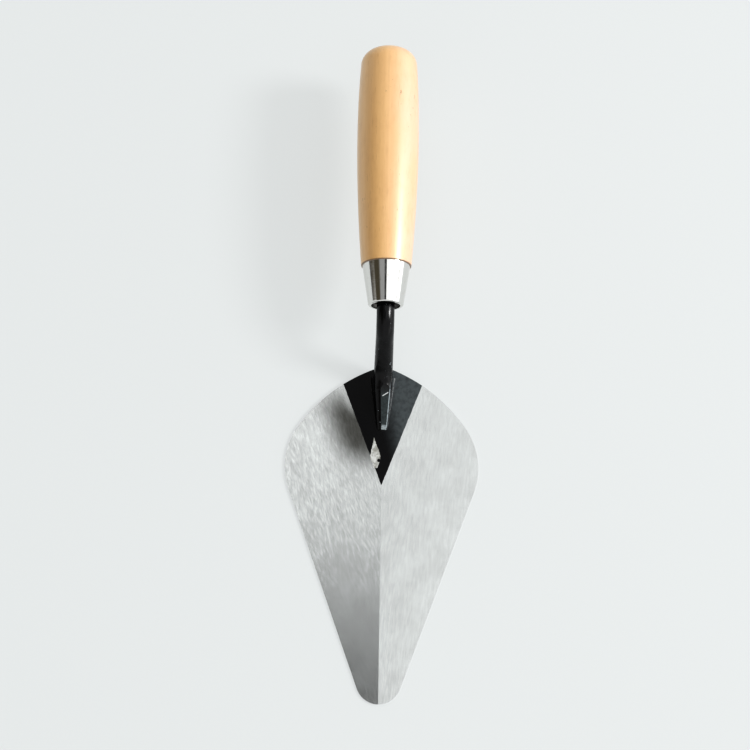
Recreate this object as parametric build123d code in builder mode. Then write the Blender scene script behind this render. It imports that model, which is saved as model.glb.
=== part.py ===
from build123d import *
from math import cos, hypot, radians, sin, tan
import os

# A bricklayer's trowel, lying on its blade: a ground steel blade, a bent round shank
# welded on to its heel, and a turned wooden handle held by a steel ferrule.
# Millimetres. +Z is up, +Y runs from the blade's toe to the handle's butt, and the
# origin is on the surface that the trowel lies on, under the middle of its box.

# Driving dimensions: the whole tool
blade_length = 175.0
blade_width = 102.0
handle_height = 40.0  # the handle's axis above the blade's underside
rim_gap = 23.7  # from the blade's heel to the ferrule's front rim
ferrule_length = 21.1
grip_length = 121.2  # the wood that shows behind the ferrule

# The blade's outline
toe_radius = 11.7
side_half_angle = 20.4  # degrees from the centre line, from the toe to the shoulder
shoulder_radius = 37.5
shoulder_turn = 56.42  # degrees that the outline turns through, from side to flank
flank_radius = 89.0
flank_turn = 30.96

# The blade's faces: an unground patch at the heel, then one ground face each side
heel_thickness = 2.8
toe_thickness = 1.2
patch_tip_at = 111.8  # from the toe
patch_half_angle = 21.2
edge_round = 0.3

# The shank: a round bar bent twice, its lower end drawn down to a tongue
neck_radius = 4.4  # inside the handle's mouth
bar_radius = 4.6  # at the gooseneck
root_radius = 4.9  # at the back of the tongue
bend_radius = 14.0
riser_angle = 60.0
gooseneck_gap = 14.0  # from the heel to where the riser's line meets the handle's axis
root_sink = 0.7  # how much of the bar's underside is flattened on to the blade
tongue_end_at = 141.4  # from the toe
tongue_end_radius = 3.2
tongue_end_crown = 1.3  # how far the tongue's end stands above the blade
flat_root_depth = 0.75  # the hammered flat along the tongue's top
flat_end_depth = 0.3
flat_twist = 16.0  # degrees that the flat turns towards +X
flat_clearance = 1.0
flat_blend = 10.0

# The tang: the shank's tail inside the handle
tang_start = 10.0  # behind the ferrule's rim
tang_length = 60.0
tang_square = 6.2
tang_tip_square = 3.2
tang_point_length = 4.0
tang_point_square = 0.8

# The weld round the tongue
weld_leg = 2.2
weld_end_leg = 1.4
weld_height = 2.6
weld_end_height = 1.0
weld_slant = 1.6

# The ferrule: a drawn steel cup with its front edge rolled in
ferrule_front_radius = 9.05
ferrule_back_radius = 12.35
ferrule_wall = 0.8
rim_radius = 0.9
rim_inner_radius = 0.3
opening_radius = 7.5

# The handle
nose_setback = 3.2  # from the ferrule's rim to the wood's front end
collar_radius = 13.0  # the grip where it meets the ferrule
collar_round = 0.5
swell_radius = 15.1
swell_at = 31.0  # behind the ferrule
widest_radius = 16.27
widest_at = 72.0
waning_radius = 15.6
waning_at = 103.0
butt_radius = 14.5
butt_round = 8.0
butt_crown = 1.5

# Places along Y
overall_length = blade_length + rim_gap + ferrule_length + grip_length
toe_y = -overall_length / 2
heel_y = toe_y + blade_length
rim_y = heel_y + rim_gap
joint_y = rim_y + ferrule_length  # where the ferrule meets the grip's collar
butt_y = joint_y + grip_length


def section_plane(y, z):
    """A plane square to the tool's length, centred at height z, with its own y along Z."""
    return Plane(origin=(0, y, z), x_dir=(-1, 0, 0), z_dir=(0, 1, 0))


# The ferrule and the handle are turned: their profiles have y along the tool as x, and
# the distance from the axis as y.
turning_plane = Plane(origin=(0, 0, handle_height), x_dir=(0, 1, 0), z_dir=(1, 0, 0))
turning_axis = Axis((0, 0, handle_height), (0, 1, 0))

# ---- Blade ----------------------------------------------------------------------
# Each ground face falls away from the ridge so that it meets the flat patch along
# the patch's side.
patch_tip_y = toe_y + patch_tip_at
ridge_slope = (heel_thickness - toe_thickness) / patch_tip_at
ground_slope = ridge_slope / tan(radians(patch_half_angle))

with BuildPart() as blade:
    with BuildSketch():
        with BuildLine():
            toe = CenterArc((0, toe_y + toe_radius), toe_radius, -90, 90 - side_half_angle)
            side_angle = radians(side_half_angle)
            side_reach = blade_width / 2 - shoulder_radius * (1 - cos(side_angle)) - (toe @ 1).X
            side = Line(toe @ 1, toe @ 1 + Vector(side_reach, side_reach / tan(side_angle)))
            shoulder = JernArc(side @ 1, side % 1, shoulder_radius, shoulder_turn)
            flank = JernArc(shoulder @ 1, shoulder % 1, flank_radius, flank_turn)
            TangentArc(flank @ 1, (0, heel_y), tangent=flank % 1)
            mirror(about=Plane.YZ)
        make_face()
    extrude(amount=heel_thickness)
    for direction in (-1, 1):
        ground_face = Plane(
            origin=(0, patch_tip_y, heel_thickness),
            z_dir=(direction * ground_slope, -ridge_slope, 1),
        )
        split(bisect_by=ground_face, keep=Keep.BOTTOM)
    fillet(blade.faces().sort_by(Axis.Z)[0].edges(), radius=edge_round)
blade.part.label = "blade"

# ---- Shank ----------------------------------------------------------------------
riser = radians(riser_angle)
root_z = heel_thickness + root_radius - root_sink
gooseneck_y = heel_y + gooseneck_gap
foot_bend_y = gooseneck_y - (handle_height - root_z) / tan(riser)
root_y = foot_bend_y - bend_radius * tan(riser / 2)
tongue_end_y = toe_y + tongue_end_at
tongue_end_z = heel_thickness + tongue_end_crown - tongue_end_radius
tang_y = rim_y + tang_start

# The flat lies on a plane that faces up and a little to +X. Heights on it are from
# the bar's centre at the root.
twist = radians(flat_twist)
flat_plane = Plane(
    origin=(0, 0, root_z), x_dir=(0, 1, 0), z_dir=(cos(twist), 0, -sin(twist))
)
flat_root_height = root_radius - flat_root_depth
flat_end_height = (tongue_end_z - root_z) * cos(twist) + tongue_end_radius - flat_end_depth
flat_slope = (flat_root_height - flat_end_height) / (root_y - tongue_end_y)
flat_front_y = tongue_end_y - 2 * tongue_end_radius
flat_front = (flat_front_y, flat_root_height - flat_slope * (root_y - flat_front_y))
# its back end turns up, clear of the front of the riser
flat_back_y = foot_bend_y - root_radius * tan(riser / 2) - flat_clearance
flat_back = (flat_back_y, flat_root_height + flat_slope * (flat_back_y - root_y))
flat_top_height = handle_height - root_z
flat_top = (flat_back_y + (flat_top_height - flat_back[1]) / tan(riser), flat_top_height)

with BuildPart() as shank:
    with BuildLine(Plane.YZ) as centre_line:
        FilletPolyline(
            (root_y, root_z),
            (foot_bend_y, root_z),
            (gooseneck_y, handle_height),
            (tang_y, handle_height),
            radius=bend_radius,
        )
    foot_bend, riser_run, gooseneck, neck_run = centre_line.line.edges().sort_by(Axis.Y)
    # each bend is as thick all through, and the runs between them taper
    for bend, radius in ((foot_bend, root_radius), (gooseneck, bar_radius)):
        with BuildSketch(Plane(bend @ 0, z_dir=bend % 0)):
            Circle(radius)
        sweep(path=bend)
    for run, start_radius, end_radius in (
        (riser_run, root_radius, bar_radius),
        (neck_run, bar_radius, neck_radius),
    ):
        with BuildSketch(Plane(run @ 0, z_dir=run % 0)):
            Circle(start_radius)
        with BuildSketch(Plane(run @ 1, z_dir=run % 1)):
            Circle(end_radius)
        loft()
    # the tongue, which thins and sinks towards the toe
    with BuildSketch(section_plane(tongue_end_y, tongue_end_z)):
        Circle(tongue_end_radius)
    with BuildSketch(section_plane(root_y, root_z)):
        Circle(root_radius)
    loft()
    split(bisect_by=Plane.XY.offset(heel_thickness), keep=Keep.TOP)
    with BuildSketch(flat_plane):
        with BuildLine():
            FilletPolyline(flat_front, flat_back, flat_top, radius=flat_blend)
            Polyline(flat_top, (flat_front_y, flat_top_height), flat_front)
        make_face()
    extrude(amount=2 * root_radius, both=True, mode=Mode.SUBTRACT)
    # the tang, square and tapered, then its point
    for start, length, start_square, end_square in (
        (tang_y, tang_length, tang_square, tang_tip_square),
        (tang_y + tang_length, tang_point_length, tang_tip_square, tang_point_square),
    ):
        with BuildSketch(section_plane(start, handle_height)):
            Rectangle(start_square, start_square)
        with BuildSketch(section_plane(start + length, handle_height)):
            Rectangle(end_square, end_square)
        loft()
shank.part.label = "shank"

# ---- Weld -----------------------------------------------------------------------
# A low ramp that is widest under the bend and runs out round the tongue's end
with BuildPart() as shank_weld:
    for y, half_width, height in (
        (tongue_end_y - weld_end_leg, tongue_end_radius + weld_end_leg, weld_end_height),
        (foot_bend_y, root_radius + weld_leg, weld_height),
    ):
        with BuildSketch(section_plane(y, heel_thickness)):
            with BuildLine():
                Polyline(
                    (-half_width, 0),
                    (-half_width + weld_slant, height),
                    (half_width - weld_slant, height),
                    (half_width, 0),
                    close=True,
                )
            make_face()
    loft()
    add(shank.part, mode=Mode.SUBTRACT)
shank_weld.part.label = "shank_weld"

# ---- Ferrule --------------------------------------------------------------------
ferrule_flare = (ferrule_back_radius - ferrule_front_radius) / ferrule_length
wall_across = ferrule_wall * hypot(1, ferrule_flare)  # the wall, measured square to the axis


def inside_ferrule(depth):
    """The radius of the ferrule's inside, this far behind its rim."""
    return ferrule_front_radius + ferrule_flare * depth - wall_across


with BuildPart() as ferrule:
    with BuildSketch(turning_plane) as wall:
        with BuildLine():
            Polyline(
                (rim_y, opening_radius),
                (rim_y, ferrule_front_radius),
                (joint_y, ferrule_back_radius),
                (joint_y, inside_ferrule(ferrule_length)),
                (rim_y + ferrule_wall, inside_ferrule(ferrule_wall)),
                (rim_y + ferrule_wall, opening_radius),
                close=True,
            )
        make_face()
        front_to_back = wall.vertices().group_by(Axis.X)
        fillet(front_to_back[0].sort_by(Axis.Y)[-1], radius=rim_radius)
        fillet(front_to_back[1].sort_by(Axis.Y)[-1], radius=rim_inner_radius)
    revolve(axis=turning_axis)
ferrule.part.label = "ferrule"

# ---- Handle ---------------------------------------------------------------------
with BuildPart() as handle:
    with BuildSketch(turning_plane) as profile:
        with BuildLine():
            Polyline(
                (butt_y, 0),
                (rim_y + nose_setback, 0),
                (rim_y + nose_setback, inside_ferrule(nose_setback)),
                (joint_y, inside_ferrule(ferrule_length)),
                (joint_y, collar_radius),
            )
            Spline(
                (joint_y, collar_radius),
                (joint_y + swell_at, swell_radius),
                (joint_y + widest_at, widest_radius),
                (joint_y + waning_at, waning_radius),
                (butt_y - butt_crown, butt_radius),
            )
            TangentArc((butt_y, 0), (butt_y - butt_crown, butt_radius), tangent=(0, 1))
        make_face()
        fillet(profile.vertices().sort_by(Axis.Y)[-1], radius=butt_round)
        fillet(profile.vertices().group_by(Axis.X)[1].sort_by(Axis.Y)[-1], radius=collar_round)
    revolve(axis=turning_axis)
    add(shank.part, mode=Mode.SUBTRACT)
handle.part.label = "handle"


os.makedirs("parts", exist_ok=True)
for piece in (blade, shank, shank_weld, ferrule, handle):
    export_step(piece.part, f"parts/{piece.part.label}.step")
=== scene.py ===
import math

import bmesh
import bpy
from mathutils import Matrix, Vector


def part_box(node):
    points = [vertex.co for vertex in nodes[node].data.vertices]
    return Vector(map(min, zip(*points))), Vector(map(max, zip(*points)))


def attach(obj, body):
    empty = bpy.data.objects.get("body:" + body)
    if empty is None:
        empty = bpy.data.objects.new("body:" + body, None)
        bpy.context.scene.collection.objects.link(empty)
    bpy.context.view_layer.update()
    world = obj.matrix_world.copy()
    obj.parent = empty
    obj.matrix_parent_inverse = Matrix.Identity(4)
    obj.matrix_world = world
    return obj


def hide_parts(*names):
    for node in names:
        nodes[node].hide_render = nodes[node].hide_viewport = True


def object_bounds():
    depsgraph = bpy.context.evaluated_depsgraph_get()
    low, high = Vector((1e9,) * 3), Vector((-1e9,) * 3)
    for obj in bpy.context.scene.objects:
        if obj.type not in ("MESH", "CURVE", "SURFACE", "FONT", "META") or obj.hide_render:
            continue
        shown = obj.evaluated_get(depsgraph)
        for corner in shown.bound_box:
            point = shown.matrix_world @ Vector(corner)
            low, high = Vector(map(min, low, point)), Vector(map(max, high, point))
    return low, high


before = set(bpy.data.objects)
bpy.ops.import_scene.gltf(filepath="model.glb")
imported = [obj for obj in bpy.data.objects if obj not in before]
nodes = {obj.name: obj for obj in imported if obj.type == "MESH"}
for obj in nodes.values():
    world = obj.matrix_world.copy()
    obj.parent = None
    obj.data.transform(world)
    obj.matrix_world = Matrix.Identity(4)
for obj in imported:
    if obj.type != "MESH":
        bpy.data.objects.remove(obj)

cad_low, cad_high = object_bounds()

# The blade lies flat on the floor. Its toe is at the low end of Y and the handle runs along +Y.
toe = Vector((0.0, cad_low.y, 0.0))
blade_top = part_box("blade")[1].z
weld_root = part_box("shank_weld")[1].y
ferrule_low, ferrule_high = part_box("ferrule")

# The lacquered patch at the heel: its point is this far from the toe, and its sides
# open by this angle each way.
patch_point = toe.y + 0.1118
patch_half_angle = math.radians(21.2)

# The tongue of the shank, welded along the patch: its end, its root, the heights of its
# axis at the two, and how far the hammered flat on top of it turns to the right.
tongue_end = toe.y + 0.1414
tongue_root = weld_root - 0.0081
tongue_end_axis, tongue_root_axis = 0.0009, 0.0070
flat_twist = math.radians(16.0)

# A scratch across the tongue: where it starts, its turn from +X, its length and half width.
scratch_start = toe + Vector((-0.0005, 0.1581, 0.0))
scratch_turn = math.radians(33.0)
scratch_length, scratch_half = 0.0042, 0.0003

# Light levels of the studio's walls and panels, where the floor at full light is about 0.8.
dim_room = 0.10
far_wall = 0.66
low_left_wall = 0.55
low_window = 1.3
end_strips = 0.7
side_panel = 1.3
overhead_right, overhead_right_toe = 0.845, 1.00
overhead_left, overhead_left_toe = 1.55, 0.05
left_panel = 0.32
camera_arm = 0.05

# The key lamp: its distance in metres, its direction and the half angle that it fills, both in
# degrees, and its power in watts. The floor also glows from below.
key_distance = 2.0
key_azimuth, key_elevation = 5.0, 38.5
key_half_angle = 7.5
key_power = 21.0
floor_glow = 0.445

# Ground steel between its streaks, dull and bright, and in its dark and bright streaks.
dull_steel, bright_steel = (0.57, 0.585, 0.58, 1.0), (0.63, 0.65, 0.645, 1.0)
dark_streak, bright_streak = (0.38, 0.39, 0.39, 1.0), (0.88, 0.90, 0.90, 1.0)
# The brown of the soft darkening beside the patch's left edge.
darkening_brown = (0.040, 0.038, 0.030, 1.0)

# The lacquer where it is clean, and where it is dusty with a painted sheen.
lacquer_black = (0.0035, 0.0035, 0.004, 1.0)
dust_and_sheen_grey = (0.080, 0.092, 0.096, 1.0)
# The hammered flat's grey: wear with a painted sheen.
flat_wear_and_sheen_grey = (0.030, 0.040, 0.041, 1.0)
# The grey of chips, also used for the painted highlight along the flat's right edge.
chip_and_highlight_grey = (0.33, 0.37, 0.39, 1.0)

# The wood: its grain, the painted sheen that makes its right side paler, the browner clouds, pores,
# mottling and specks.
dark_grain, pale_grain = (0.72, 0.448, 0.195, 1.0), (0.765, 0.492, 0.225, 1.0)
painted_sheen_side = (0.685, 0.47, 0.34, 1.0)
brown_cloud = (0.70, 0.43, 0.185, 1.0)
pore_brown = (0.45, 0.24, 0.10, 1.0)
mottle_brown = (0.60, 0.35, 0.15, 1.0)
speck_brown = (0.22, 0.12, 0.05, 1.0)


class Graph:
    """Short calls that add nodes to one node tree and link them."""

    def __init__(self, tree):
        self.tree = tree
        tree.nodes.clear()

    def put(self, socket, value):
        """Links a socket to value, or stores value in it."""
        if isinstance(value, bpy.types.NodeSocket):
            self.tree.links.new(value, socket)
        else:
            socket.default_value = value

    def add(self, kind, settings=None, **inputs):
        """Adds a node. An input's name has _ where the socket's has a space."""
        node = self.tree.nodes.new(kind)
        for name, value in (settings or {}).items():
            setattr(node, name, value)
        for name, value in inputs.items():
            self.put(node.inputs[name.replace("_", " ")], value)
        return node

    def math(self, operation, *values):
        """The result of one math node."""
        node = self.add("ShaderNodeMath", {"operation": operation})
        for socket, value in zip(node.inputs, values):
            self.put(socket, value)
        return node.outputs[0]

    def times(self, *values):
        """The product of two or more values."""
        product, *others = values
        for value in others:
            product = self.math("MULTIPLY", product, value)
        return product

    def less(self, value):
        """One less the value."""
        return self.math("SUBTRACT", 1.0, value)

    def near(self, value, centre, full, end):
        """1 within full of the centre, falling smoothly to 0 at end from it."""
        distance = self.math("ABSOLUTE", self.math("SUBTRACT", value, centre))
        return self.rise(distance, end, full)

    def vector(self, operation, *values, output=0):
        """The result of one vector math node."""
        node = self.add("ShaderNodeVectorMath", {"operation": operation})
        for socket, value in zip(node.inputs, values):
            self.put(socket, value)
        return node.outputs[output]

    def rise(self, value, start, end, low=0.0, high=1.0):
        """Goes smoothly from low to high as value goes from start to end."""
        node = self.add("ShaderNodeMapRange", {"interpolation_type": "SMOOTHSTEP"})
        for socket, given in zip(node.inputs, (value, start, end, low, high)):
            self.put(socket, given)
        return node.outputs[0]

    def mix(self, factor, first, second):
        """A colour between first and second."""
        node = self.add("ShaderNodeMix", {"data_type": "RGBA"})
        self.put(node.inputs[0], factor)
        self.put(node.inputs[6], first)
        self.put(node.inputs[7], second)
        return node.outputs[2]

    def between(self, factor, first, second):
        """A number between first and second."""
        node = self.add("ShaderNodeMix", {"data_type": "FLOAT"})
        for socket, value in zip(node.inputs[:1] + node.inputs[2:4], (factor, first, second)):
            self.put(socket, value)
        return node.outputs[0]

    def noise(self, place, scale, detail=2.0, roughness=0.5, distortion=0.0):
        """Noise from 0 to 1 at a place."""
        node = self.add(
            "ShaderNodeTexNoise",
            Vector=place,
            Scale=scale,
            Detail=detail,
            Roughness=roughness,
            Distortion=distortion,
        )
        return node.outputs[0]

    def streaks(self, place, across, along, lean):
        """Long noise from 0 to 1, its scale across and along the streaks, which lean in degrees."""
        depth = 300.0
        return self.noise(self.stretch(place, (across, along, depth), math.radians(lean)), 1.0)

    def stretch(self, place, scale, turn=0.0):
        """The place turned about Z and scaled along each axis."""
        turned = self.add("ShaderNodeMapping", Vector=place, Rotation=(0.0, 0.0, turn))
        return self.add("ShaderNodeMapping", Vector=turned.outputs[0], Scale=scale).outputs[0]

    def place(self):
        """The place on the object in metres, whole and as x, y and z."""
        whole = self.add("ShaderNodeTexCoord").outputs["Object"]
        return whole, *self.add("ShaderNodeSeparateXYZ", Vector=whole).outputs

    def bump(self, height, distance):
        """A normal tilted by a height, which runs from 0 to 1, times a distance in metres."""
        return self.add("ShaderNodeBump", Height=height, Distance=distance, Strength=1.0).outputs[0]


def grey(level):
    """A neutral colour."""
    return level, level, level, 1.0


def new_material(name):
    """A material with a surface shader, and the graph to feed it."""
    material = bpy.data.materials.new(name)
    material.use_nodes = True
    graph = Graph(material.node_tree)
    shader = graph.add("ShaderNodeBsdfPrincipled")
    output = graph.add("ShaderNodeOutputMaterial")
    graph.put(output.inputs["Surface"], shader.outputs[0])
    return material, graph, shader


def feed(graph, shader, **inputs):
    """Sets or links the shader's inputs by name."""
    for name, value in inputs.items():
        graph.put(shader.inputs[name.replace("_", " ")], value)


def patch_reach(graph, y):
    """How far a place is ahead of the patch's point, and the patch's half width there."""
    ahead = graph.math("SUBTRACT", y, patch_point)
    return ahead, graph.times(ahead, math.tan(patch_half_angle))


def dust_and_sheen_side(graph, x, ahead):
    """0 on the patch's clean left half, rising to 1 on its right half, which is dusty with a painted
    sheen.
    """
    clean_end, dust_start = 0.0065, 0.021
    return graph.rise(graph.math("MULTIPLY_ADD", ahead, 0.25, x), clean_end, dust_start)


def ground_steel(graph, place, right_side):
    """The ground steel's colour and its streaks, coarser on the left side than on the right."""
    steep = graph.streaks(place, 1300.0, 260.0, -16)
    slant = graph.streaks(place, 1150.0, 230.0, -34)
    left_streaks = graph.between(0.3, steep, slant)
    right_streaks = graph.streaks(place, 1150.0, 160.0, 6)
    streaks = graph.between(right_side, left_streaks, right_streaks)
    strength = graph.between(right_side, 0.34, 0.12)
    cloud = graph.noise(place, 75.0, 5.0, 0.6)
    steel = graph.mix(graph.rise(cloud, 0.3, 0.7), dull_steel, bright_steel)
    bright = graph.times(graph.rise(streaks, 0.50, 0.70), strength, 0.75)
    dark = graph.times(graph.rise(streaks, 0.50, 0.30), strength, 0.60)
    return graph.mix(dark, graph.mix(bright, steel, bright_streak), dark_streak), streaks


def lacquer_chip(graph, x, ahead, fine):
    """1 in a chip through the lacquer: a ragged, notched leaf to the left of the patch's point."""
    taper = graph.rise(ahead, 0.0082, 0.0170, 0.18, 0.98)
    leaf_half = graph.times(graph.math("MULTIPLY_ADD", ahead, -0.30, 0.0078), taper)
    leaf_middle = graph.rise(ahead, 0.0100, 0.0260, -0.0031, -0.0041)
    from_middle = graph.math("ABSOLUTE", graph.math("SUBTRACT", x, leaf_middle))
    ragged = graph.times(graph.math("SUBTRACT", fine, 0.42), 0.0020)
    in_leaf = graph.math("SUBTRACT", leaf_half, graph.math("ADD", from_middle, ragged))
    flat_place = graph.add("ShaderNodeCombineXYZ", X=x, Y=ahead).outputs[0]
    notch_middle, notch_radius = (-0.0015, 0.0132, 0.0), 0.0008
    from_notch = graph.vector("DISTANCE", flat_place, notch_middle, output=1)
    return graph.times(
        graph.rise(in_leaf, 0.0, 0.0001),
        graph.rise(from_notch, notch_radius, notch_radius + 0.0002),
        graph.rise(ahead, 0.0090, 0.0093),
    )


def left_darkening(graph, x, ahead, reach):
    """A soft darkening on the left side, along the patch's edge, with a paler strip at its heel end.
    """
    beyond = graph.math("SUBTRACT", graph.times(x, -1.0), reach)
    strip = graph.times(graph.rise(beyond, 0.0045, 0.001), graph.rise(ahead, 0.034, 0.046))
    return graph.times(
        graph.rise(beyond, 0.024, 0.005),
        graph.rise(x, 0.0, -0.001),
        graph.rise(ahead, 0.003, 0.024),
        graph.rise(ahead, 0.058, 0.036),
        graph.math("MULTIPLY_ADD", strip, -0.5, 1.0),
    )


def blade_material():
    """Ground steel with fine streaks, and black lacquer on the patch at the heel."""
    material, graph, shader = new_material("ground_steel")
    place, x, y, z = graph.place()
    steel, streaks = ground_steel(graph, place, graph.math("GREATER_THAN", x, 0.0))
    upper_face = graph.rise(z, 0.0003, 0.0006)
    fine = graph.noise(place, 800.0, 4.0, 0.65)
    mottle = graph.noise(place, 420.0, 3.0, 0.6)

    # the lacquered patch, its edge slightly uneven, and the chip in it down to bare metal
    ahead, reach = patch_reach(graph, y)
    uneven = graph.times(graph.math("SUBTRACT", graph.noise(place, 500.0, 3.0), 0.5), 0.0006)
    inside = graph.math("SUBTRACT", reach, graph.math("ABSOLUTE", x))
    in_patch = graph.rise(graph.math("ADD", inside, uneven), -0.0001, 0.0001)
    chip = graph.times(lacquer_chip(graph, x, ahead, fine), upper_face)
    unchipped = graph.less(chip)
    lacquer = graph.times(in_patch, upper_face, unchipped)
    scraped = graph.mix(graph.rise(mottle, 0.35, 0.62), (0.36, 0.36, 0.33, 1), (0.68, 0.69, 0.67, 1))
    steel = graph.mix(chip, steel, scraped)

    # a soft darkening along the patch's left edge, which the streaks show through
    through = graph.rise(streaks, 0.25, 0.75, 1.04, 0.96)
    darkening = graph.times(left_darkening(graph, x, ahead, reach), unchipped, through, upper_face)
    steel = graph.mix(graph.times(darkening, 0.86), steel, darkening_brown)

    # the patch's right half, dusty with a painted sheen of the light from the right
    patchy = graph.rise(graph.noise(place, 420.0, 4.0, 0.65), 0.15, 0.75, 0.55, 1.15)
    dust_and_sheen = graph.times(dust_and_sheen_side(graph, x, ahead), patchy)
    steel_roughness = graph.rise(streaks, 0.2, 0.8, 0.24, 0.17)
    chip_roughness = graph.times(chip, 0.25)
    feed(
        graph,
        shader,
        Base_Color=graph.mix(lacquer, steel, graph.mix(dust_and_sheen, lacquer_black, dust_and_sheen_grey)),
        IOR=1.33,
        Metallic=graph.less(lacquer),
        Roughness=graph.between(lacquer, graph.math("ADD", steel_roughness, chip_roughness), 0.16),
        Normal=graph.bump(graph.math("SUBTRACT", streaks, graph.times(chip, 4.0)), 0.000004),
    )
    return material


def hammered_flat(graph, x, y, z):
    """The flat across the tongue: how far along it a place is, and how far past its right edge,
    then 1 inside it."""
    along = graph.math("DIVIDE", graph.math("SUBTRACT", y, tongue_end), tongue_root - tongue_end)
    axis = graph.math("MULTIPLY_ADD", along, tongue_root_axis - tongue_end_axis, tongue_end_axis)
    lift = graph.times(graph.math("SUBTRACT", z, axis), math.sin(flat_twist))
    across = graph.math("SUBTRACT", graph.times(x, math.cos(flat_twist)), lift)
    half = graph.math("MULTIPLY_ADD", along, 0.0012, 0.0014)
    past_edge = graph.math("SUBTRACT", across, half)
    before_edge = graph.math("SUBTRACT", half, graph.math("ABSOLUTE", across))
    inside = graph.times(graph.rise(before_edge, -0.0001, 0.0001), graph.rise(along, 1.1, 0.75))
    return along, past_edge, inside


def tongue_scratch(graph, place, z):
    """1 in a short straight scratch across the top of the tongue's root."""
    run = Vector((math.cos(scratch_turn), math.sin(scratch_turn), 0.0))
    from_start = graph.vector("SUBTRACT", place, scratch_start)
    along = graph.vector("DOT_PRODUCT", from_start, run, output=1)
    off = graph.vector("DOT_PRODUCT", from_start, Vector((-run.y, run.x, 0.0)), output=1)
    return graph.times(
        graph.rise(graph.math("ABSOLUTE", off), scratch_half, scratch_half / 2),
        graph.rise(along, 0.0, 0.0004),
        graph.rise(along, scratch_length, scratch_length - 0.0006),
        graph.rise(z, 0.006, 0.007),
    )


def lacquer_material():
    """Black lacquer on forged steel, grey on the hammered flat with wear and a painted sheen, with a
    painted highlight along the flat's right edge, and chipped in places.
    """
    material, graph, shader = new_material("black_lacquer")
    place, x, y, z = graph.place()
    mottle = graph.noise(place, 180.0, 4.0, 0.6)
    dents = graph.noise(place, 90.0)
    fine = graph.noise(place, 900.0, 3.0, 0.6)

    # wear and a painted sheen on the flat, a painted highlight along its right edge, wear at the
    # tongue's end, and a few chips elsewhere
    along, past_edge, flat = hammered_flat(graph, x, y, z)
    # a painted highlight along the flat's right edge
    edge = graph.times(
        graph.rise(graph.math("ABSOLUTE", past_edge), 0.00035, 0.0001),
        graph.rise(along, 0.02, 0.1),
        graph.rise(along, 1.25, 0.9),
        graph.rise(fine, 0.30, 0.5, 0.35, 1.0),
    )
    end_wear = graph.times(graph.rise(along, 0.14, 0.08), graph.rise(fine, 0.35, 0.5, 0.3, 1.0), flat)
    flat_wear_and_sheen = graph.times(flat, graph.rise(fine, 0.25, 0.65, 0.5, 1.0))
    chips = graph.rise(graph.noise(place, 520.0), 0.735, 0.75)

    # the tongue's right side, dusty with a painted sheen where it faces the light
    right_side = graph.times(graph.rise(past_edge, 0.0, 0.0006), graph.rise(along, 1.1, 0.7))
    dust_and_sheen = graph.times(right_side, graph.rise(mottle, 0.3, 0.7, 0.25, 0.5))

    black = graph.rise(mottle, 0.4, 0.75)
    colour = graph.mix(black, (0.003, 0.003, 0.0035, 1), (0.008, 0.008, 0.009, 1))
    colour = graph.mix(dust_and_sheen, colour, dust_and_sheen_grey)
    colour = graph.mix(flat_wear_and_sheen, colour, flat_wear_and_sheen_grey)
    colour = graph.mix(end_wear, colour, (0.26, 0.29, 0.30, 1))
    colour = graph.mix(graph.math("MAXIMUM", edge, chips), colour, chip_and_highlight_grey)
    colour = graph.mix(tongue_scratch(graph, place, z), colour, (0.50, 0.52, 0.52, 1))
    feed(
        graph,
        shader,
        Base_Color=colour,
        IOR=1.43,
        Roughness=graph.rise(mottle, 0.3, 0.7, 0.20, 0.30),
        Normal=graph.bump(dents, 0.0006),
    )
    return material


def weld_material():
    """Black lacquer over the weld, clean on the left, and on the right dusty with a painted sheen."""
    material, graph, shader = new_material("weld_lacquer")
    place, x, y, z = graph.place()
    mottle = graph.noise(place, 420.0, 4.0, 0.65)
    ripple = graph.noise(graph.stretch(place, (300.0, 700.0, 300.0)), 1.0)
    ahead, _ = patch_reach(graph, y)
    # the right side, dusty with a painted sheen of the light from the right
    dust_and_sheen = graph.times(dust_and_sheen_side(graph, x, ahead), graph.rise(mottle, 0.2, 0.7, 0.4, 0.7))
    feed(
        graph,
        shader,
        Base_Color=graph.mix(dust_and_sheen, lacquer_black, dust_and_sheen_grey),
        IOR=1.33,
        Roughness=graph.rise(mottle, 0.3, 0.7, 0.25, 0.4),
        Normal=graph.bump(ripple, 0.0003),
    )
    return material


def chrome_material():
    """Bright plating with faint turned lines and a few dull spots."""
    material, graph, shader = new_material("bright_plating")
    place = graph.place()[0]
    lines = graph.noise(graph.stretch(place, (30.0, 2500.0, 30.0)), 1.0)
    spots = graph.noise(place, 350.0, 3.0)
    dull = graph.rise(spots, 0.55, 0.75)
    feed(
        graph,
        shader,
        Base_Color=graph.mix(dull, (0.78, 0.78, 0.76, 1), (0.70, 0.69, 0.66, 1)),
        Metallic=1.0,
        Roughness=graph.rise(spots, 0.3, 0.8, 0.07, 0.16),
        Normal=graph.bump(lines, 0.000004),
    )
    return material


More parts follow.
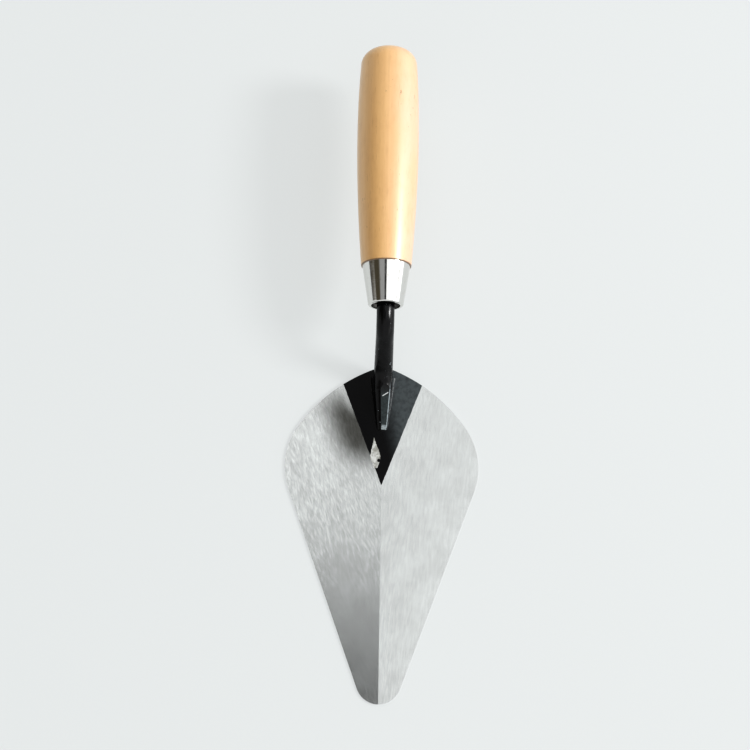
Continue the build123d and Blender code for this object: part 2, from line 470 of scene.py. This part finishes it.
def wood_material():
    """Pale varnished hardwood, its grain along the handle, and a painted sheen that makes its right
    side paler.
    """
    material, graph, shader = new_material("varnished_wood")
    place, x, y, z = graph.place()
    grain = graph.noise(graph.stretch(place, (420.0, 14.0, 420.0)), 1.0, 4.0, 0.6, 0.4)
    pores = graph.noise(graph.stretch(place, (2400.0, 110.0, 2400.0)), 1.0)
    cloud = graph.noise(graph.stretch(place, (70.0, 28.0, 70.0)), 1.0, 3.0)
    mottle = graph.noise(graph.stretch(place, (260.0, 110.0, 260.0)), 1.0, 3.0, 0.6)
    specks = graph.noise(graph.stretch(place, (600.0, 260.0, 600.0)), 1.0)
    wood = graph.mix(graph.rise(grain, 0.3, 0.7), dark_grain, pale_grain)
    # a painted sheen: the right side, which faces the key lamp, is painted paler
    wood = graph.mix(graph.rise(x, -0.004, 0.011, 0.0, 0.85), wood, painted_sheen_side)
    wood = graph.mix(graph.rise(cloud, 0.35, 0.7, 0.0, 0.35), wood, brown_cloud)
    wood = graph.mix(graph.rise(pores, 0.62, 0.75, 0.0, 0.45), wood, pore_brown)
    wood = graph.mix(graph.rise(mottle, 0.45, 0.7, 0.0, 0.22), wood, mottle_brown)
    wood = graph.mix(graph.rise(specks, 0.725, 0.75, 0.0, 0.6), wood, speck_brown)

    # a dark line where the wood meets the ferrule, and painted shade on the nose inside the ferrule
    joint = graph.rise(y, ferrule_high.y + 0.0009, ferrule_high.y + 0.0002, 0.0, 0.85)
    nose_shade = graph.rise(y, ferrule_low.y + 0.012, ferrule_low.y + 0.008)
    wood = graph.mix(joint, wood, (0.10, 0.05, 0.02, 1))
    wood = graph.mix(nose_shade, wood, (0.02, 0.014, 0.01, 1))
    feed(
        graph,
        shader,
        Base_Color=wood,
        Roughness=graph.rise(grain, 0.2, 0.8, 0.42, 0.34),
        Normal=graph.bump(pores, 0.00003),
        Coat_Weight=1.0,
        Coat_IOR=1.65,
        Coat_Roughness=0.38,
    )
    return material


def floor_material():
    """Frosted white acrylic, lit from below as a light table is, which keeps the shadow faint."""
    material, graph, shader = new_material("frosted_acrylic")
    frost = graph.noise(graph.place()[0], 900.0, 3.0)
    feed(
        graph,
        shader,
        Base_Color=graph.mix(frost, (0.164, 0.168, 0.168, 1), (0.174, 0.178, 0.178, 1)),
        Roughness=0.9,
        Specular_IOR_Level=0.0,
        Emission_Color=(0.97, 1.0, 1.0, 1),
        Emission_Strength=floor_glow,
    )
    return material


def wear(node, material):
    """Gives a CAD node its material."""
    mesh = nodes[node].data
    mesh.materials.clear()
    mesh.materials.append(material)


def weld_path(side_steps, end_steps, centre_y):
    """Stations round the tongue, from its root down the right side, round its end and back up:
    the outward direction, the place along Y, and the share of the way to the root."""
    right, left = Vector((1.0, 0.0)), Vector((-1.0, 0.0))
    side = []
    for i in range(side_steps + 1):
        share = 1.0 - i / side_steps
        side.append((centre_y + (weld_root - centre_y) * share, share))
    path = [(right, y, share) for y, share in side]
    for i in range(1, end_steps):
        turn = math.pi * i / end_steps
        path.append((Vector((math.cos(turn), -math.sin(turn))), centre_y, 0.0))
    return path + [(left, y, share) for y, share in reversed(side)]


def weld_profile(step, share, inner_end, curve_steps):
    """The fillet's section as distances from the tongue's axis and heights, its leg uneven."""
    sunk, depth = 0.00008, 0.0002
    base = blade_top - sunk
    wobble = 1.0 + 0.06 * math.sin(step * 0.9) + 0.04 * math.sin(step * 2.3 + 1.0)
    inner_root = 0.0045
    inner = inner_end + (inner_root - inner_end) * share**0.8
    leg = (0.0016 + 0.0012 * share) * wobble
    height = 0.0011 + 0.0022 * share
    profile = []
    for i in range(curve_steps + 1):
        turn = math.pi / 2 * i / curve_steps
        profile.append((inner + leg * (1 - math.sin(turn)), base + height * (1 - math.cos(turn))))
    return profile + [(inner, base - depth), (inner + leg, base - depth)]


def build_weld():
    """The weld and its lacquer: a concave fillet along both sides of the tongue and round its end."""
    curve_steps = 10
    inner_end = 0.0019
    path = weld_path(side_steps=40, end_steps=18, centre_y=tongue_end + inner_end)
    points, faces = [], []
    for step, (outward, y, share) in enumerate(path):
        for reach, z in weld_profile(step, share, inner_end, curve_steps):
            points.append((outward.x * reach, y + outward.y * reach, z))
    ring = curve_steps + 3
    for step in range(len(path) - 1):
        for i in range(ring):
            a, b = step * ring + i, step * ring + (i + 1) % ring
            faces.append((a, b, b + ring, a + ring))
    last = (len(path) - 1) * ring
    faces.append(tuple(range(ring - 1, -1, -1)))
    faces.append(tuple(range(last, last + ring)))
    mesh = bpy.data.meshes.new("weld")
    mesh.from_pydata(points, [], faces)
    mesh.validate()
    tidy = bmesh.new()
    tidy.from_mesh(mesh)
    bmesh.ops.recalc_face_normals(tidy, faces=tidy.faces)
    tidy.to_mesh(mesh)
    tidy.free()
    mesh.shade_smooth()
    mesh.set_sharp_from_angle(angle=math.radians(40.0))
    weld = bpy.data.objects.new("weld_fillet", mesh)
    bpy.context.scene.collection.objects.link(weld)
    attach(weld, "root")
    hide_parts("shank_weld")
    return weld


def toward(azimuth, elevation):
    """The direction at an azimuth in degrees from +X towards +Y, and an elevation in degrees."""
    turn, lift = math.radians(azimuth), math.radians(elevation)
    return math.cos(turn) * math.cos(lift), math.sin(turn) * math.cos(lift), math.sin(lift)


def off_zenith(graph, part, up):
    """How far a direction leans from straight up, in degrees, towards the axis of its part."""
    return graph.math("DEGREES", graph.math("ARCTAN2", part, up))


def glow(graph, heading, colour, direction, inner, outer, panel_colour):
    """Lays a soft round panel over the sky's colour. inner and outer are radii in degrees."""
    nearness = graph.vector("DOT_PRODUCT", heading, direction, output=1)
    share = graph.rise(nearness, math.cos(math.radians(outer)), math.cos(math.radians(inner)))
    return graph.mix(share, colour, panel_colour)


def walls(graph, heading, x, y, z):
    """The studio's walls: dim on the left between two paler ends, paler on the right, and
    brighter low down on both sides."""
    ends = graph.rise(graph.math("ABSOLUTE", y), 0.36, 0.46)
    left_wall = graph.mix(ends, grey(dim_room), grey(far_wall))
    colour = graph.mix(graph.rise(x, -0.1, 0.2), left_wall, grey(far_wall))
    side, ahead = off_zenith(graph, x, z), off_zenith(graph, y, z)
    across = graph.near(side, 0.0, 16.0, 38.0)
    along = graph.rise(graph.math("ABSOLUTE", ahead), 17.0, 30.0)
    strip = graph.times(across, along, graph.rise(z, 0.1, 0.3))
    colour = graph.mix(strip, colour, grey(end_strips))
    window = graph.times(graph.rise(z, 0.38, 0.24), graph.rise(x, 0.50, 0.75))
    colour = graph.mix(window, colour, grey(low_window))
    colour = glow(graph, heading, colour, toward(180, 38), 20, 42, (0.085, 0.075, 0.055, 1))
    low_left = graph.times(
        graph.rise(z, 0.52, 0.38),
        graph.rise(x, -0.40, -0.55),
        graph.rise(y, 0.08, 0.0),
    )
    return graph.mix(low_left, colour, grey(low_left_wall))


def panels(graph, colour, x, y, z):
    """Soft panels overhead and on both sides, and a dark camera arm among them."""
    side, ahead = off_zenith(graph, x, z), off_zenith(graph, y, z)
    overhead = graph.rise(z, math.cos(math.radians(25)), math.cos(math.radians(16)))

    # overhead, on the right, and a narrow panel beyond it
    share = graph.times(overhead, graph.rise(side, 0.0, 4.0))
    towards_toe = graph.rise(ahead, 6.0, -6.0)
    panel = graph.mix(towards_toe, grey(overhead_right), grey(overhead_right_toe))
    colour = graph.mix(share, colour, panel)
    across = graph.times(graph.rise(side, 13.0, 19.0), graph.rise(side, 68.0, 58.0))
    share = graph.times(across, graph.near(ahead, -1.0, 3.5, 7.0))
    colour = graph.mix(share, colour, grey(side_panel))

    # overhead, on the left, dark on the toe's side and bright on the handle's, and one beyond it
    share = graph.times(overhead, graph.rise(side, 2.5, -0.5))
    towards_handle = graph.rise(ahead, 1.5, 8.5)
    panel = graph.mix(towards_handle, grey(overhead_left_toe), grey(overhead_left))
    colour = graph.mix(share, colour, panel)
    across = graph.times(graph.rise(side, -7.5, -10.5), graph.rise(side, -40.0, -30.0))
    share = graph.times(across, graph.near(ahead, -1.0, 10.0, 16.0))
    colour = graph.mix(share, colour, grey(left_panel))

    arm = graph.times(graph.near(side, -1.9, 2.8, 4.2), graph.near(ahead, 11.7, 2.2, 4.0))
    return graph.mix(arm, colour, grey(camera_arm))


def light_the_studio():
    """Pale and dim walls, soft panels overhead, and a plain backdrop for the camera."""
    world = bpy.data.worlds.new("studio")
    world.use_nodes = True
    bpy.context.scene.world = world
    graph = Graph(world.node_tree)
    heading = graph.vector("NORMALIZE", graph.add("ShaderNodeTexCoord").outputs["Generated"])
    x, y, z = graph.add("ShaderNodeSeparateXYZ", Vector=heading).outputs
    colour = panels(graph, walls(graph, heading, x, y, z), x, y, z)

    # beyond the floor the camera sees a plain backdrop
    seen = graph.add("ShaderNodeLightPath").outputs["Is Camera Ray"]
    colour = graph.mix(seen, colour, (0.80, 0.83, 0.83, 1))
    background = graph.add("ShaderNodeBackground", Color=colour, Strength=1.0)
    output = graph.add("ShaderNodeOutputWorld")
    graph.put(output.inputs["Surface"], background.outputs[0])


def hang_the_key():
    """A round soft lamp to the right, which throws the handle's shadow to the left."""
    key = bpy.data.lights.new("key", "AREA")
    key.shape = "DISK"
    key.size = 2 * key_distance * math.tan(math.radians(key_half_angle))
    key.energy = key_power
    lamp = bpy.data.objects.new("key", key)
    direction = Vector(toward(key_azimuth, key_elevation))
    lamp.location = direction * key_distance
    lamp.rotation_mode = "QUATERNION"
    lamp.rotation_quaternion = direction.to_track_quat("Z", "Y")
    bpy.context.scene.collection.objects.link(lamp)


def lay_the_floor():
    """A wide pale floor under the blade."""
    half = 4.0
    corners = [(-half, -half, 0), (half, -half, 0), (half, half, 0), (-half, half, 0)]
    mesh = bpy.data.meshes.new("floor")
    mesh.from_pydata(corners, [], [(0, 1, 2, 3)])
    mesh.materials.append(floor_material())
    floor = bpy.data.objects.new("floor", mesh)
    floor.location.z = cad_low.z
    bpy.context.scene.collection.objects.link(floor)


def set_the_camera():
    """Above the toe, tipped towards the handle, with a little extra contrast."""
    data = bpy.data.cameras.new("camera")
    data.sensor_width = 36.0
    data.lens = 67.2
    camera = bpy.data.objects.new("camera", data)
    camera.location = toe + Vector((-0.0168, -0.0099, 0.7284))
    camera.rotation_mode = "ZYX"
    tip, lean, roll = 14.02, -0.96, 1.17
    camera.rotation_euler = (math.radians(tip), math.radians(lean), math.radians(roll))
    bpy.context.scene.collection.objects.link(camera)
    bpy.context.scene.camera = camera
    bpy.context.scene.view_settings.view_transform = "Standard"
    bpy.context.scene.view_settings.look = "High Contrast"


wear("blade", blade_material())
wear("shank", lacquer_material())
build_weld().data.materials.append(weld_material())
wear("ferrule", chrome_material())
wear("handle", wood_material())
light_the_studio()
hang_the_key()
lay_the_floor()
set_the_camera()
